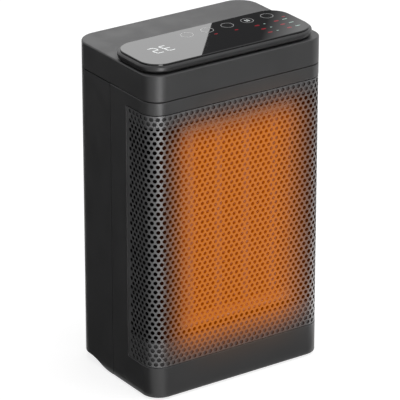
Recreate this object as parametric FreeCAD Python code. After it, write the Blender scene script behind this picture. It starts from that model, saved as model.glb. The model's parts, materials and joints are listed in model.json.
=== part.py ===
import FreeCAD, Part
import math
import os
from FreeCAD import Vector

os.makedirs("parts", exist_ok=True)

# ---- casing ----
body_width = 155.0
body_depth = 105.0
body_height = 258.0          # floor to the cap's top face
skirt_gap = 1.2              # floor to the casing's lower edge
wall = 2.2
front_corner = 14.0          # plan radius of the front corners
rear_corner = 17.0
part_gap = 0.4               # visible line between two casing pieces
seam_y = 2.4                 # line between the front and rear shells
cap_height = 20.7
cap_edge_round = 2.0
cap_plate = 2.6
tongue_depth = 5.0
tongue_thick = 1.6
slide_fit = 0.2              # clearance of one casing piece inside another
rear_sweep = 4.6             # rise of the rear shell's lower edge
sweep_start = 4.0            # from the seam to where the rise begins
sweep_run = 29.0             # length over which that edge rises

# ---- grille ----
band_low = 25.0              # casing below the grille
band_high = 10.5             # casing between the grille and the cap's seam
grille_rear_y = -19.2
sheet = 0.8
sheet_inset = 0.15           # sheet's face behind the casing's face
hole_radius = 1.55
hole_pitch = 4.75
row_pitch = 3.69
hole_margin = 2.45           # from the sheet's edge to the first hole's centre
frame_thick = 3.0
frame_lap = 4.0              # frame behind the casing's edge

# ---- control pad ----
pad_rear_y = 5.1
pad_lift = 0.9
pad_thick = 5.3
pad_side_inset = 2.0
pad_shift_x = -2.0            # pad sits off centre, its left end flush with the casing
pad_front_inset = 1.1
pad_corner = 18.0
pad_low_round = 2.4
pad_top_round = 1.6
pad_floor = 1.6
glass_inset = 2.2
glass_thick = 2.4
glass_proud = 1.2            # glass above the pad's rim
glass_edge = 0.5
key_count = 5
key_pitch = 17.9
key_first_x = -17.0
key_back = 13.1              # from the pad's rear edge to the row of touch marks
key_radius = 5.0
lamp_side = 6.6              # lamp beside a touch mark
lamp_back = 13.5             # from the row of touch marks to the first lamp
lamp_pitch = 8.5
lamp_half = 0.8
lamp_rows = 3
display_x = -49.8
display_y = -22.5
display_length = 24.0
display_depth = 15.0
pad_seat_radius = 5.0
pillar_radius = 3.4

# ---- heating core ----
core_z = 132.0               # height of the airway's centre
core_front_y = -46.0
module_count = 4
module_pitch = 25.0
fin_length = 148.0
fin_depth = 16.0
fin_setback = 2.0            # fins behind the core's front
fin_fold = 3.7               # length of one fold of the ribbon
ribbon = 0.4
module_gap = 0.3
tube_width = 6.0
tube_wall = 0.8
stone_length = 23.0
stone_thick = 2.6
strip_thick = 0.5
strip_width = 6.0
strip_rise = 6.0             # contact tabs above the upper end frame
end_frame_height = 8.0
end_frame_depth = 20.0
side_spring_thick = 1.6

# ---- air duct and fan ----
duct_wall = 1.6
plate_thick = 2.0
plate_clearance = 1.0        # bulkhead's edge inside the casing
ring_radius = 54.0           # inside of the fan ring
ring_wall = 2.4
ring_length = 22.0
tip_clearance = 2.5
blade_count = 7
blade_thick = 1.6
hub_radius = 17.0
hub_length = 14.0
fan_front_y = 9.0
shaft_radius = 1.6
running_fit = 0.05
motor_radius = 24.0
motor_length = 18.0
can_wall = 1.4
rotor_radius = 12.0
rotor_gap = 0.5
stator_length = 11.0
bush_radius = 4.0
bush_length = 4.0
bracket_thick = 2.5
limiter_y = -10.0
thermostat_x = -20.0
fuse_x = 14.0
fuse_radius = 2.2
fuse_length = 14.0
arm_width = 9.0
arm_count = 4

# ---- base ----
base_z = 7.0
base_thick = 2.5
foot_x = 52.0
foot_y = 31.0
foot_radius = 8.0
foot_height = 3.6
post_wall = 2.0
pocket_depth = 1.6

# ---- fasteners ----
screw_radius = 1.5
slot_width = 0.8
slot_depth = 0.8
screw_hole = 1.7
head_radius = 3.0
head_height = 2.2
boss_radius = 4.5
well_radius = 3.4
side_boss_inset = 15.0       # from the casing's side to the shell screws
side_boss_z = (46.0, 130.0, 218.0)
base_boss_front_y = -32.0
base_boss_rear_y = 24.0
shell_screw_grip = 10.0
base_screw_length = 10.0
cap_screw_length = 18.0
pad_screw_length = 6.2
bracket_screw_length = 7.5

# ---- electrics ----
board_z = 15.0
board_x = 46.0               # half length of the power board
board_front_y = -30.0
board_rear_y = 34.0
power_board_thick = 1.6
recess_half = 50.0           # rear service recess, half width
recess_low = 16.0
recess_high = 46.0
recess_depth = 5.0
rocker_x = 30.0
rocker_width = 19.0
rocker_height = 13.0
rocker_tilt = 12.0
gland_x = -30.0
gland_bore = 3.3
gland_flange = 8.0
gland_wall = 2.0
gland_reach = 9.0            # bushing inside the recess's floor
rocker_seat = 2.0            # rocker's pin behind the recess's floor
rocker_pin = 1.15
tip_x = -58.0
tip_y = 6.0
plunger_radius = 2.5
plunger_collar = 4.0
tip_box = 13.0
tip_box_height = 17.0

# ---- worked out from the above ----
half_width = body_width / 2
half_depth = body_depth / 2
cap_seam_z = body_height - cap_height
grille_low = skirt_gap + band_low
grille_high = cap_seam_z - band_high
frame_inset = sheet_inset + sheet + 0.1
frame_back_y = -half_depth + frame_inset + frame_thick
duct_half_x = module_count * module_pitch / 2 + side_spring_thick + duct_wall + 0.4
duct_low = core_z - fin_length / 2 - end_frame_height
duct_high = core_z + fin_length / 2 + end_frame_height
core_rear_y = core_front_y + end_frame_depth
side_boss_x = half_width - side_boss_inset
fan_radius = ring_radius - tip_clearance
stone_front_y = core_front_y + fin_setback + 1 + tube_wall + 0.7
stone_rear_y = stone_front_y + fin_depth - 2 * (1 + tube_wall) - 1.2
strip_front_y = (stone_front_y + stone_rear_y - strip_width) / 2
plate_y = seam_y - plate_thick / 2
ring_rear_y = plate_y + plate_thick + ring_length
bracket_y = ring_rear_y
motor_front_y = bracket_y + bracket_thick
motor_rear_y = motor_front_y + motor_length
base_top = base_z + base_thick
recess_y = half_depth - recess_depth
recess_z = (recess_low + recess_high) / 2
pad_low = body_height + pad_lift
pad_rim = pad_low + pad_thick
glass_low = pad_rim + glass_proud - glass_thick
far = 400.0


def save(shape, name):
    """One sub-part, in its own file."""
    solids = shape.Solids
    shape = solids[0] if len(solids) == 1 else Part.makeCompound(solids)
    shape.exportStep("parts/" + name + ".step")
    print(name, len(solids), round(shape.Volume, 1), shape.isValid())


def box(x0, x1, y0, y1, z0, z1):
    return Part.makeBox(x1 - x0, y1 - y0, z1 - z0, Vector(x0, y0, z0))


def rod(radius, x, y, z0, z1):
    return Part.makeCylinder(radius, z1 - z0, Vector(x, y, z0))


def rod_y(radius, x, z, y0, y1):
    return Part.makeCylinder(radius, y1 - y0, Vector(x, y0, z), Vector(0, 1, 0))


def outline(x, y0, y1, front, rear, z):
    """Plan outline with round corners, as a wire."""
    turn = math.sqrt(0.5)
    corners = [(x, y0, front, 1, -1), (x, y1, rear, 1, 1),
               (-x, y1, rear, -1, 1), (-x, y0, front, -1, -1)]
    arcs = []
    for cx, cy, r, sx, sy in corners:
        mx = cx - sx * r
        my = cy - sy * r
        ends = [Vector(mx, cy, z), Vector(cx, my, z)]
        if sx * sy > 0:
            ends.reverse()
        middle = Vector(mx + sx * r * turn, my + sy * r * turn, z)
        arcs.append(Part.Arc(ends[0], middle, ends[1]).toShape())
    edges = []
    for i, arc in enumerate(arcs):
        following = arcs[(i + 1) % len(arcs)]
        edges.append(arc)
        edges.append(Part.makeLine(arc.Vertexes[1].Point, following.Vertexes[0].Point))
    return Part.Wire(edges)


def casing(inset, z0, z1):
    """Solid of the casing's plan, moved in from its face."""
    wire = outline(half_width - inset, -half_depth + inset, half_depth - inset,
                   front_corner - inset, rear_corner - inset, z0)
    return Part.Face(wire).extrude(Vector(0, 0, z1 - z0))


def ring_wall_of(outer, inner, z0, z1):
    return casing(outer, z0, z1).cut(casing(inner, z0 - 1, z1 + 1))


def fused(shapes):
    return shapes[0].fuse(shapes[1:]).removeSplitter()


def ahead_of(y):
    return box(-far, far, -far, y, -far, far)


def behind(y):
    return box(-far, far, y, far, -far, far)


def screw_down_y(x, z, head_y, length):
    """Pan head screw along -Y, its head's seat at head_y."""
    head = rod_y(head_radius, x, z, head_y, head_y + head_height)
    shank = rod_y(screw_radius, x, z, head_y - length, head_y)
    top = head_y + head_height
    slot = box(x - head_radius, x + head_radius, top - slot_depth, top + 1,
               z - slot_width / 2, z + slot_width / 2)
    return head.fuse(shank).cut(slot)


def screw_up(x, y, head_z, length):
    """Pan head screw that points up, its head's seat at head_z."""
    head = rod(head_radius, x, y, head_z - head_height, head_z)
    shank = rod(screw_radius, x, y, head_z, head_z + length)
    low = head_z - head_height
    slot = box(x - head_radius, x + head_radius, y - slot_width / 2, y + slot_width / 2,
               low - 1, low + slot_depth)
    return head.fuse(shank).cut(slot)


def screw_down(x, y, head_z, length):
    flipped = screw_up(x, y, -head_z, length)
    return flipped.mirror(Vector(0, 0, 0), Vector(0, 0, 1))


# ---- places shared by mating pieces ----
boss_x = half_width - wall - boss_radius + 1.0
base_bosses = [(sign * boss_x, y) for sign in (-1, 1) for y in (base_boss_front_y, base_boss_rear_y)]
shell_bosses = [(sign * side_boss_x, z) for sign in (-1, 1) for z in side_boss_z]
cap_bosses = [(sign * (half_width - wall - boss_radius + 0.5), -8.0) for sign in (-1, 1)]
pad_seats = [(sign * x, y) for sign in (-1, 1) for x, y in ((45.6, -10.0), (55.0, -41.0))]
feet = [(sx * foot_x, sy * foot_y) for sx in (-1, 1) for sy in (-1, 1)]
board_posts = [(sx * (board_x - 4), y) for sx in (-1, 1) for y in (board_front_y + 4, board_rear_y - 4)]
bracket_angles = [math.radians(45 + 360.0 * i / arm_count) for i in range(arm_count)]
lug_radius = ring_radius + ring_wall + 2.0
lugs = [(lug_radius * math.cos(a), core_z + lug_radius * math.sin(a)) for a in bracket_angles]


def grille_opening(gap):
    """Space that the grille fills in the front shell, grown by a gap."""
    return box(-far, far, -far, grille_rear_y + gap, grille_low - gap, grille_high + gap)


def front_shell():
    shell = ring_wall_of(0, wall, skirt_gap, cap_seam_z - part_gap / 2)
    shell = shell.common(ahead_of(seam_y - part_gap / 2)).cut(grille_opening(part_gap))
    extras = []
    holes = []
    boss_start = grille_rear_y + frame_lap + part_gap
    boss_end = plate_y - 0.1
    for x, z in shell_bosses:
        side = 1 if x > 0 else -1
        extras.append(rod_y(boss_radius, x, z, boss_start, boss_end))
        web = sorted((x, side * (half_width - wall / 2)))
        extras.append(box(web[0], web[1], boss_start, boss_end, z - 1, z + 1))
        holes.append(rod_y(screw_hole, x, z, seam_y - shell_screw_grip - 2, far))
    for x, y in base_bosses:
        if y < seam_y:
            extras.append(rod(boss_radius, x, y, base_top + 0.1, grille_low - frame_lap - 1))
            holes.append(rod(screw_hole, x, y, 0, grille_low - frame_lap - 2))
    for x, y in cap_bosses:
        extras.append(rod(boss_radius, x, y, grille_high - 22, cap_seam_z - tongue_depth - 1))
        holes.append(rod(screw_hole, x, y, grille_high - 18, cap_seam_z))
    extras = [piece.common(casing(wall / 2, 0, body_height)) for piece in extras]
    return fused([shell] + extras).cut(Part.makeCompound(holes))


def lower_sweep():
    """Space under the rear shell's lower edge, which rises in an even S."""
    low = skirt_gap - 5
    start = Vector(-far, seam_y + sweep_start, skirt_gap)
    end = start + Vector(0, sweep_run, rear_sweep)
    centre = (start + end) * 0.5
    run = sweep_run / 2
    rise = rear_sweep / 2
    radius = (run ** 2 + rise ** 2) / (2 * rise)
    half = math.asin(run / radius) / 2
    bow = Vector(0, radius * math.sin(half), radius * (1 - math.cos(half)))
    corners = [end + Vector(0, far, 0), Vector(-far, end.y + far, low), Vector(-far, start.y, low)]
    edges = [Part.Arc(start, start + bow, centre).toShape(),
             Part.Arc(centre, end - bow, end).toShape(),
             Part.makeLine(end, corners[0]),
             Part.makeLine(corners[0], corners[1]),
             Part.makeLine(corners[1], corners[2]),
             Part.makeLine(corners[2], start)]
    return Part.Face(Part.Wire(edges)).extrude(Vector(2 * far, 0, 0))


def intake_slots():
    """Rows of round-ended slots in the rear wall."""
    slots = []
    slot_half = 14.0
    slot_round = 1.9
    for row in range(13):
        z = core_z + (row - 6) * 8.4
        for column in (-1, 0, 1):
            x = column * 34.0
            slot = box(x - slot_half, x + slot_half, half_depth - 8, far, z - slot_round, z + slot_round)
            ends = [rod_y(slot_round, x + side * slot_half, z, half_depth - 8, far) for side in (-1, 1)]
            slots.append(fused([slot] + ends))
    return slots


def rear_shell():
    shell = ring_wall_of(0, wall, skirt_gap, cap_seam_z - part_gap / 2)
    shell = shell.common(behind(seam_y + part_gap / 2)).cut(lower_sweep())
    extras = [box(-recess_half - wall, recess_half + wall, recess_y - wall, half_depth - wall / 2,
                  recess_low - wall, recess_high + wall)]
    holes = [box(-recess_half, recess_half, recess_y, far, recess_low, recess_high)]
    boss_start = plate_y + plate_thick + 0.1
    for x, z in shell_bosses:
        extras.append(rod_y(boss_radius, x, z, boss_start, half_depth - wall / 2))
        holes.append(rod_y(screw_hole, x, z, -far, far))
        holes.append(rod_y(well_radius, x, z, boss_start + 4, far))
    for x, y in base_bosses:
        if y > seam_y:
            extras.append(rod(boss_radius, x, y, base_top + 0.1, grille_low - frame_lap - 1))
            holes.append(rod(screw_hole, x, y, 0, grille_low - frame_lap - 2))
    extras = [piece.common(casing(wall / 2, 0, body_height)) for piece in extras]
    body = fused([shell] + extras)
    holes.append(box(rocker_x - rocker_width / 2, rocker_x + rocker_width / 2, recess_y - 9, far,
                     recess_z - rocker_height / 2, recess_z + rocker_height / 2))
    holes.append(rod_y(gland_bore + gland_wall + slide_fit, gland_x, recess_z, recess_y - 9, far))
    return body.cut(Part.makeCompound(holes + intake_slots()))


def top_cap():
    skirt = casing(0, cap_seam_z + part_gap / 2, body_height)
    top_edges = [e for e in skirt.Edges if abs(e.BoundBox.ZMin - body_height) < 0.01]
    skirt = skirt.makeFillet(min(cap_edge_round, wall), top_edges)
    cap = skirt.cut(casing(wall, cap_seam_z - 1, body_height - cap_plate))
    tongue = ring_wall_of(wall + slide_fit, wall + slide_fit + tongue_thick,
                          cap_seam_z - tongue_depth, body_height - cap_plate + 0.5)
    link = ring_wall_of(wall / 2, wall + slide_fit + tongue_thick, cap_seam_z + 2, cap_seam_z + 4)
    extras = [tongue, link]
    holes = [box(-16, 16, -30, -16, body_height - 5, far)]
    inside = casing(wall + slide_fit, 0, body_height)
    for x, y in cap_bosses:
        boss = rod(boss_radius, x, y, cap_seam_z - tongue_depth - 0.9, body_height - cap_plate + 0.5)
        extras.append(boss.common(inside))
        holes.append(rod(screw_hole, x, y, 0, far))
        holes.append(rod(well_radius, x, y, cap_seam_z, far))
    for x, y in pad_seats:
        extras.append(rod(pad_seat_radius, x, y, body_height - 0.5, pad_low))
        holes.append(rod(screw_hole, x, y, body_height - 10, far))
    return fused([cap] + extras).cut(Part.makeCompound(holes))


def pad_plan(inset, z0, z1):
    wire = outline(half_width - pad_side_inset - inset, -half_depth + pad_front_inset + inset,
                   pad_rear_y - inset, pad_corner - inset, pad_corner - inset, z0)
    wire.translate(Vector(pad_shift_x, 0, 0))
    return Part.Face(wire).extrude(Vector(0, 0, z1 - z0))


def edges_at(shape, z):
    return [e for e in shape.Edges if abs(e.BoundBox.ZMin - z) < 0.01 and abs(e.BoundBox.ZMax - z) < 0.01]


def pad_housing():
    pad = pad_plan(0, pad_low, pad_rim)
    pad = pad.makeFillet(pad_low_round, edges_at(pad, pad_low))
    pad = pad.makeFillet(pad_top_round, edges_at(pad, pad_rim))
    pad = pad.cut(pad_plan(glass_inset - 0.1, glass_low, far))
    hollow = pad_plan(glass_inset + 4, pad_low + pad_floor, far)
    pillars = [rod(pillar_radius, x, y, pad_low, pad_low + pad_floor + 2.3) for x, y in pad_seats]
    pad = fused([pad.cut(hollow)] + pillars)
    holes = [rod(screw_hole, x, y, 0, pad_low + pad_floor + 1.6) for x, y in pad_seats]
    holes.append(box(-14, 14, -29, -17, 0, pad_low + pad_floor + 0.1))
    return pad.cut(Part.makeCompound(holes))


def glass_panel():
    glass = pad_plan(glass_inset, glass_low, glass_low + glass_thick)
    return glass.makeChamfer(glass_edge, edges_at(glass, glass_low + glass_thick))


def key_places():
    """Touch marks, in a row near the glass's rear edge."""
    return [(key_first_x + i * key_pitch, pad_rear_y - key_back) for i in range(key_count)]


def grille_path(s):
    """Point and outward direction at a length along the sheet's face."""
    x = half_width - sheet_inset
    y = -half_depth + sheet_inset
    r = front_corner - sheet_inset
    side = grille_rear_y - (y + r)
    bend = math.pi / 2 * r
    flat = 2 * (x - r)
    if s < 0:
        point, normal = grille_path(-s)
        return Vector(-point.x, point.y, 0), Vector(-normal.x, normal.y, 0)
    s = s - flat / 2
    if s < 0:
        return Vector(flat / 2 + s, y, 0), Vector(0, -1, 0)
    if s < bend:
        normal = Vector(math.sin(s / r), -math.cos(s / r), 0)
        return Vector(x - r, y + r, 0) + normal * r, normal
    s = min(s - bend, side)
    return Vector(x, y + r + s, 0), Vector(1, 0, 0)


def grille():
    """Bent sheet with staggered round holes."""
    plate = ring_wall_of(sheet_inset, sheet_inset + sheet, grille_low, grille_high)
    plate = plate.common(ahead_of(grille_rear_y))
    r = front_corner - sheet_inset
    side = grille_rear_y + half_depth - front_corner
    length = (half_width - front_corner) + math.pi / 2 * r + side
    rows = int((grille_high - grille_low - 2 * hole_margin) / row_pitch) + 1
    most = int((length - hole_margin) / hole_pitch)
    middle = (grille_low + grille_high) / 2
    holes = []
    for row in range(rows):
        z = middle + (row - (rows - 1) / 2) * row_pitch
        shift = 0 if row % 2 else 0.5
        for step in range(-most, most + 1):
            s = (step + shift) * hole_pitch
            if abs(s) > length - hole_margin:
                continue
            point, normal = grille_path(s)
            start = Vector(point.x, point.y, z) - normal * (sheet + 1)
            holes.append(Part.makeCylinder(hole_radius, sheet + 2, start, normal))
    return plate.cut(Part.makeCompound(holes))


def grille_frame():
    """Frame behind the sheet, open in front of the core and closed all round it."""
    back = frame_inset + frame_thick
    seat = ring_wall_of(frame_inset, back, grille_low + slide_fit, grille_high - slide_fit)
    rim = ring_wall_of(wall + slide_fit, back, grille_low - frame_lap, grille_high + frame_lap)
    seat = seat.common(ahead_of(grille_rear_y - slide_fit))
    frame = seat.fuse(rim.common(ahead_of(grille_rear_y + frame_lap)))
    window_half = duct_half_x - duct_wall
    window = box(-window_half, window_half, -far, frame_back_y + 1, duct_low, duct_high)
    boss_space = [rod(boss_radius + slide_fit, x, y, 0, grille_low) for x, y in base_bosses]
    return frame.cut(window).cut(Part.makeCompound(boss_space))


def ribbon_fin(x0, x1):
    """Corrugated ribbon that fills x0 to x1, its folds stacked up the core."""
    folds = int(fin_length / fin_fold)
    fold = fin_length / folds
    slant = ribbon * math.hypot(x1 - x0, fold) / fold
    low = core_z - fin_length / 2
    y = core_front_y + fin_setback
    near_side = [Vector(x1 - slant if i % 2 else x0, y, low + i * fold) for i in range(folds + 1)]
    far_side = [point + Vector(slant, 0, 0) for point in reversed(near_side)]
    wire = Part.makePolygon(near_side + far_side + [near_side[0]])
    return Part.Face(wire).extrude(Vector(0, fin_depth, 0))


def module_centres():
    return [(i - (module_count - 1) / 2) * module_pitch for i in range(module_count)]


def heater_fins():
    fins = []
    for x in module_centres():
        fins.append(ribbon_fin(x - module_pitch / 2 + module_gap, x - tube_width / 2))
        fins.append(ribbon_fin(x + tube_width / 2, x + module_pitch / 2 - module_gap))
    return Part.makeCompound(fins)


def tube_box(x, inset, extra):
    y0 = core_front_y + fin_setback + 1 + inset
    y1 = core_front_y + fin_setback + fin_depth - 1 - inset
    return box(x - tube_width / 2 + inset, x + tube_width / 2 - inset, y0, y1,
               core_z - fin_length / 2 - extra, core_z + fin_length / 2 + extra)


def heater_tubes():
    tubes = [tube_box(x, 0, 1).cut(tube_box(x, tube_wall, 2)) for x in module_centres()]
    return Part.makeCompound(tubes)


def ceramic_stones():
    stones = []
    count = int(fin_length / (stone_length + 1))
    for x in module_centres():
        for i in range(count):
            z = core_z + (i - (count - 1) / 2) * (stone_length + 1)
            stones.append(box(x - stone_thick / 2, x + stone_thick / 2, stone_front_y, stone_rear_y,
                              z - stone_length / 2, z + stone_length / 2))
    return Part.makeCompound(stones)


def contact_strips():
    """Two strips a module that feed the stones, with tabs above the core."""
    strips = []
    top = duct_high + strip_rise
    for x in module_centres():
        for side in (-1, 1):
            x0, x1 = sorted((x + side * stone_thick / 2, x + side * (stone_thick / 2 + strip_thick)))
            strips.append(box(x0, x1, strip_front_y, strip_front_y + strip_width,
                              core_z - fin_length / 2 + 2, top))
    return Part.makeCompound(strips)


def end_frame(z0, z1, inner_z):
    """Moulded bar that grips one end of the fins and tubes."""
    bar = box(-duct_half_x, duct_half_x, core_front_y, core_rear_y, z0, z1)
    nose = box(-duct_half_x, duct_half_x, frame_back_y + 0.1, core_front_y + 1, z0 + 2, z1 - 2)
    tab_y = strip_front_y - 0.5
    bar = fused([bar, nose])
    cuts = []
    for x in module_centres():
        cuts.append(tube_box(x, -0.1, 1.1))
        cuts.append(box(x - stone_thick, x + stone_thick, tab_y, tab_y + strip_width + 1, inner_z, far))
    return bar.cut(Part.makeCompound(cuts))


def side_springs():
    """Bowed strips that hold the stack of modules together."""
    x0 = module_count * module_pitch / 2
    low = core_z - fin_length / 2
    high = core_z + fin_length / 2
    y = core_front_y + fin_setback
    strips = [box(start, start + side_spring_thick, y, y + fin_depth, low, high)
              for start in (x0, -x0 - side_spring_thick)]
    return Part.makeCompound(strips)


def duct_cheeks():
    """Walls that close the core's sides, from the duct's mouth to the frame behind the sheet."""
    low = core_z - fin_length / 2 + 0.1
    high = core_z + fin_length / 2 - 0.1
    return [box(x, x + duct_wall, frame_back_y + 0.1, core_rear_y + 1, low, high)
            for x in (-duct_half_x, duct_half_x - duct_wall)]


def air_duct():
    """Square duct, bulkhead and fan ring in one moulding."""
    outer = box(-duct_half_x, duct_half_x, core_rear_y + 0.1, plate_y + 0.5, duct_low, duct_high)
    inner = box(-duct_half_x + duct_wall, duct_half_x - duct_wall, core_rear_y - 1, plate_y,
                duct_low + duct_wall, duct_high - duct_wall)
    plate = casing(wall + plate_clearance, duct_low - 12, duct_high + 12)
    plate = plate.common(box(-far, far, plate_y, plate_y + plate_thick, -far, far))
    ring = rod_y(ring_radius + ring_wall, 0, core_z, plate_y, ring_rear_y)
    lug_blocks = [rod_y(4.0, x, z, ring_rear_y - 8, ring_rear_y) for x, z in lugs]
    duct = fused([outer, plate, ring] + duct_cheeks() + lug_blocks)
    holes = [rod_y(ring_radius, 0, core_z, plate_y - 0.1, far), inner]
    holes += [rod_y(screw_hole, x, z, plate_y - 5, plate_y + 5) for x, z in shell_bosses]
    holes += [rod_y(screw_hole, x, z, ring_rear_y - 7, far) for x, z in lugs]
    holes += [rod(boss_radius + 0.4, x, y, 0, far) for x, y in cap_bosses]
    return duct.cut(Part.makeCompound(holes))


def blade(angle):
    """One twisted blade, lofted from its root to its tip."""
    sections = []
    root = hub_radius - 1.5
    middle = (hub_radius + fan_radius) / 2
    for radius, chord, pitch in ((root, 15.0, 48.0), (middle, 24.0, 34.0), (fan_radius, 33.0, 24.0)):
        tilt = math.radians(pitch)
        along = Vector(math.cos(tilt), math.sin(tilt), 0)
        across = Vector(-math.sin(tilt), math.cos(tilt), 0)
        centre = Vector(0, fan_front_y + hub_length / 2, radius)
        corners = [centre + along * (sx * chord / 2) + across * (sy * blade_thick / 2)
                   for sx, sy in ((-1, -1), (1, -1), (1, 1), (-1, 1))]
        sections.append(Part.makePolygon(corners + [corners[0]]))
    solid = Part.makeLoft(sections, True, True)
    solid.rotate(Vector(0, 0, 0), Vector(0, 1, 0), angle)
    solid.translate(Vector(0, 0, core_z))
    return solid


def fan_impeller():
    hub = rod_y(hub_radius, 0, core_z, fan_front_y, fan_front_y + hub_length)
    hub = hub.cut(rod_y(hub_radius - 2, 0, core_z, fan_front_y + 2.5, far))
    core = rod_y(4.5, 0, core_z, fan_front_y, fan_front_y + hub_length - 2)
    blades = [blade(360.0 * i / blade_count) for i in range(blade_count)]
    limit = rod_y(fan_radius, 0, core_z, fan_front_y - 1, fan_front_y + hub_length + 1)
    limit = limit.cut(rod_y(hub_radius - 1, 0, core_z, -far, far))
    blades = [piece.common(limit) for piece in blades]
    fan = fused([hub, core] + blades)
    return fan.cut(rod_y(shaft_radius, 0, core_z, -far, far))


def motor_shaft():
    return rod_y(shaft_radius, 0, core_z, fan_front_y - 1, motor_rear_y + 0.8)


def motor_rotor():
    length = stator_length - 1
    middle = (motor_front_y + motor_rear_y) / 2
    body = rod_y(rotor_radius, 0, core_z, middle - length / 2, middle + length / 2)
    return body.cut(rod_y(shaft_radius, 0, core_z, -far, far))


def motor_can():
    body = rod_y(motor_radius, 0, core_z, motor_front_y, motor_rear_y)
    hollow = rod_y(motor_radius - can_wall, 0, core_z, motor_front_y + can_wall, motor_rear_y - can_wall)
    return body.cut(hollow).cut(rod_y(bush_radius, 0, core_z, -far, far))


def motor_stator():
    middle = (motor_front_y + motor_rear_y) / 2
    y0 = middle - stator_length / 2
    y1 = middle + stator_length / 2
    ring = rod_y(motor_radius - can_wall, 0, core_z, y0, y1)
    ring = ring.cut(rod_y(rotor_radius + rotor_gap, 0, core_z, y0 - 1, y1 + 1))
    slots = []
    for i in range(6):
        slot = box(-2.0, 2.0, y0 - 1, y1 + 1, rotor_radius - 1, motor_radius - can_wall - 3)
        slot.rotate(Vector(0, 0, 0), Vector(0, 1, 0), 60.0 * i)
        slot.translate(Vector(0, 0, core_z))
        slots.append(slot)
    return ring.cut(Part.makeCompound(slots))


def motor_bushes():
    bushes = []
    for y0 in (motor_front_y, motor_rear_y - bush_length):
        bush = rod_y(bush_radius, 0, core_z, y0, y0 + bush_length)
        bushes.append(bush.cut(rod_y(shaft_radius + running_fit, 0, core_z, y0 - 1, y0 + bush_length + 1)))
    return Part.makeCompound(bushes)


def motor_bracket():
    disc = rod_y(motor_radius + 2, 0, core_z, bracket_y, motor_front_y)
    pieces = [disc]
    for angle in bracket_angles:
        arm = box(0, lug_radius, bracket_y, motor_front_y, -arm_width / 2, arm_width / 2)
        arm.rotate(Vector(0, 0, 0), Vector(0, 1, 0), -math.degrees(angle))
        arm.translate(Vector(0, 0, core_z))
        pieces.append(arm)
    pieces += [rod_y(arm_width / 2, x, z, bracket_y, motor_front_y) for x, z in lugs]
    holes = [rod_y(screw_hole, x, z, 0, far) for x, z in lugs]
    holes.append(rod_y(bush_radius + 2, 0, core_z, 0, far))
    holes += [rod_y(screw_hole, x, core_z, 0, far) for x in (-17.0, 17.0)]
    return fused(pieces).cut(Part.makeCompound(holes))


def thermostat():
    """Disc thermostat on the duct's roof, with two upright tabs."""
    low = duct_high
    disc = rod(8.0, thermostat_x, limiter_y, low, low + 5)
    button = rod(5.0, thermostat_x, limiter_y, low + 5, low + 9)
    tabs = [box(thermostat_x + side * 7 - 3, thermostat_x + side * 7 + 3, limiter_y - 0.4, limiter_y + 0.4,
                low + 4, low + 13) for side in (-1, 1)]
    return fused([disc, button] + tabs)


def foot_posts():
    """Hollow posts under the base plate that take the rubber feet."""
    posts = []
    for x, y in feet:
        post = rod(foot_radius + post_wall, x, y, foot_height - pocket_depth, base_z + 0.5)
        posts.append(post.cut(rod(foot_radius, x, y, 0, foot_height)))
    return posts


def base_plate():
    plate = casing(wall + slide_fit, base_z, base_top)
    posts = [rod(3.0, x, y, base_top - 0.5, board_z) for x, y in board_posts]
    guide = rod(plunger_radius + 2, tip_x, tip_y, base_z - 2, base_top)
    plate = fused([plate, guide] + foot_posts() + posts)
    holes = [rod(screw_hole, x, y, 0, far) for x, y in base_bosses]
    holes += [rod(screw_radius, x, y, base_top, far) for x, y in board_posts]
    holes.append(rod(plunger_radius + 0.3, tip_x, tip_y, 0, far))
    return plate.cut(Part.makeCompound(holes))


def power_board():
    board = box(-board_x, board_x, board_front_y, board_rear_y, board_z, board_z + power_board_thick)
    return board.cut(Part.makeCompound([rod(screw_hole, x, y, 0, far) for x, y in board_posts]))


def heat_sink():
    """Finned sink of the heater's switching part."""
    top = board_z + power_board_thick
    sink = box(-42, -22, -18, -15.5, top, top + 24)
    fins = [box(-42 + i * 4.6, -40.4 + i * 4.6, -15.6, -8, top, top + 24) for i in range(5)]
    return fused([sink] + fins)


def terminal_block():
    top = board_z + power_board_thick
    block = box(8, 38, 18, 28, top, top + 11)
    holes = [rod(2.0, 13 + i * 10, 23, top + 4, far) for i in range(3)]
    return block.cut(Part.makeCompound(holes))


def tip_switch_body():
    """Switch box over the plunger, open below."""
    half = tip_box / 2
    body = box(tip_x - half, tip_x + half, tip_y - half, tip_y + half, base_top, base_top + tip_box_height)
    body = body.cut(rod(plunger_collar + 0.4, tip_x, tip_y, base_top - 1, base_top + tip_box_height - 2))
    return body


def tip_plunger():
    """Pin that the floor holds up while the heater stands."""
    pin = rod(plunger_radius, tip_x, tip_y, 0.0, base_top + 9)
    tip = pin.makeChamfer(1.0, edges_at(pin, 0.0))
    collar = rod(plunger_collar, tip_x, tip_y, base_top + 4.2, base_top + 6)
    return fused([tip, collar])


def tip_spring():
    """Coil spring of six-sided wire between the plunger's collar and the switch box."""
    wire_radius = 0.25
    low = base_top + 6 + wire_radius + 0.05
    high = base_top + tip_box_height - 2 - wire_radius
    coil_radius = plunger_radius + 0.7
    coil = Part.makeHelix((high - low) / 5, high - low, coil_radius)
    corners = []
    for i in range(6):
        angle = math.radians(60 * i)
        corners.append(Vector(coil_radius + wire_radius * math.cos(angle), 0, wire_radius * math.sin(angle)))
    section = Part.makePolygon(corners + [corners[0]])
    spring = Part.Wire(coil.Edges).makePipeShell([section], True, True)
    spring.translate(Vector(tip_x, tip_y, low))
    return spring


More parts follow.
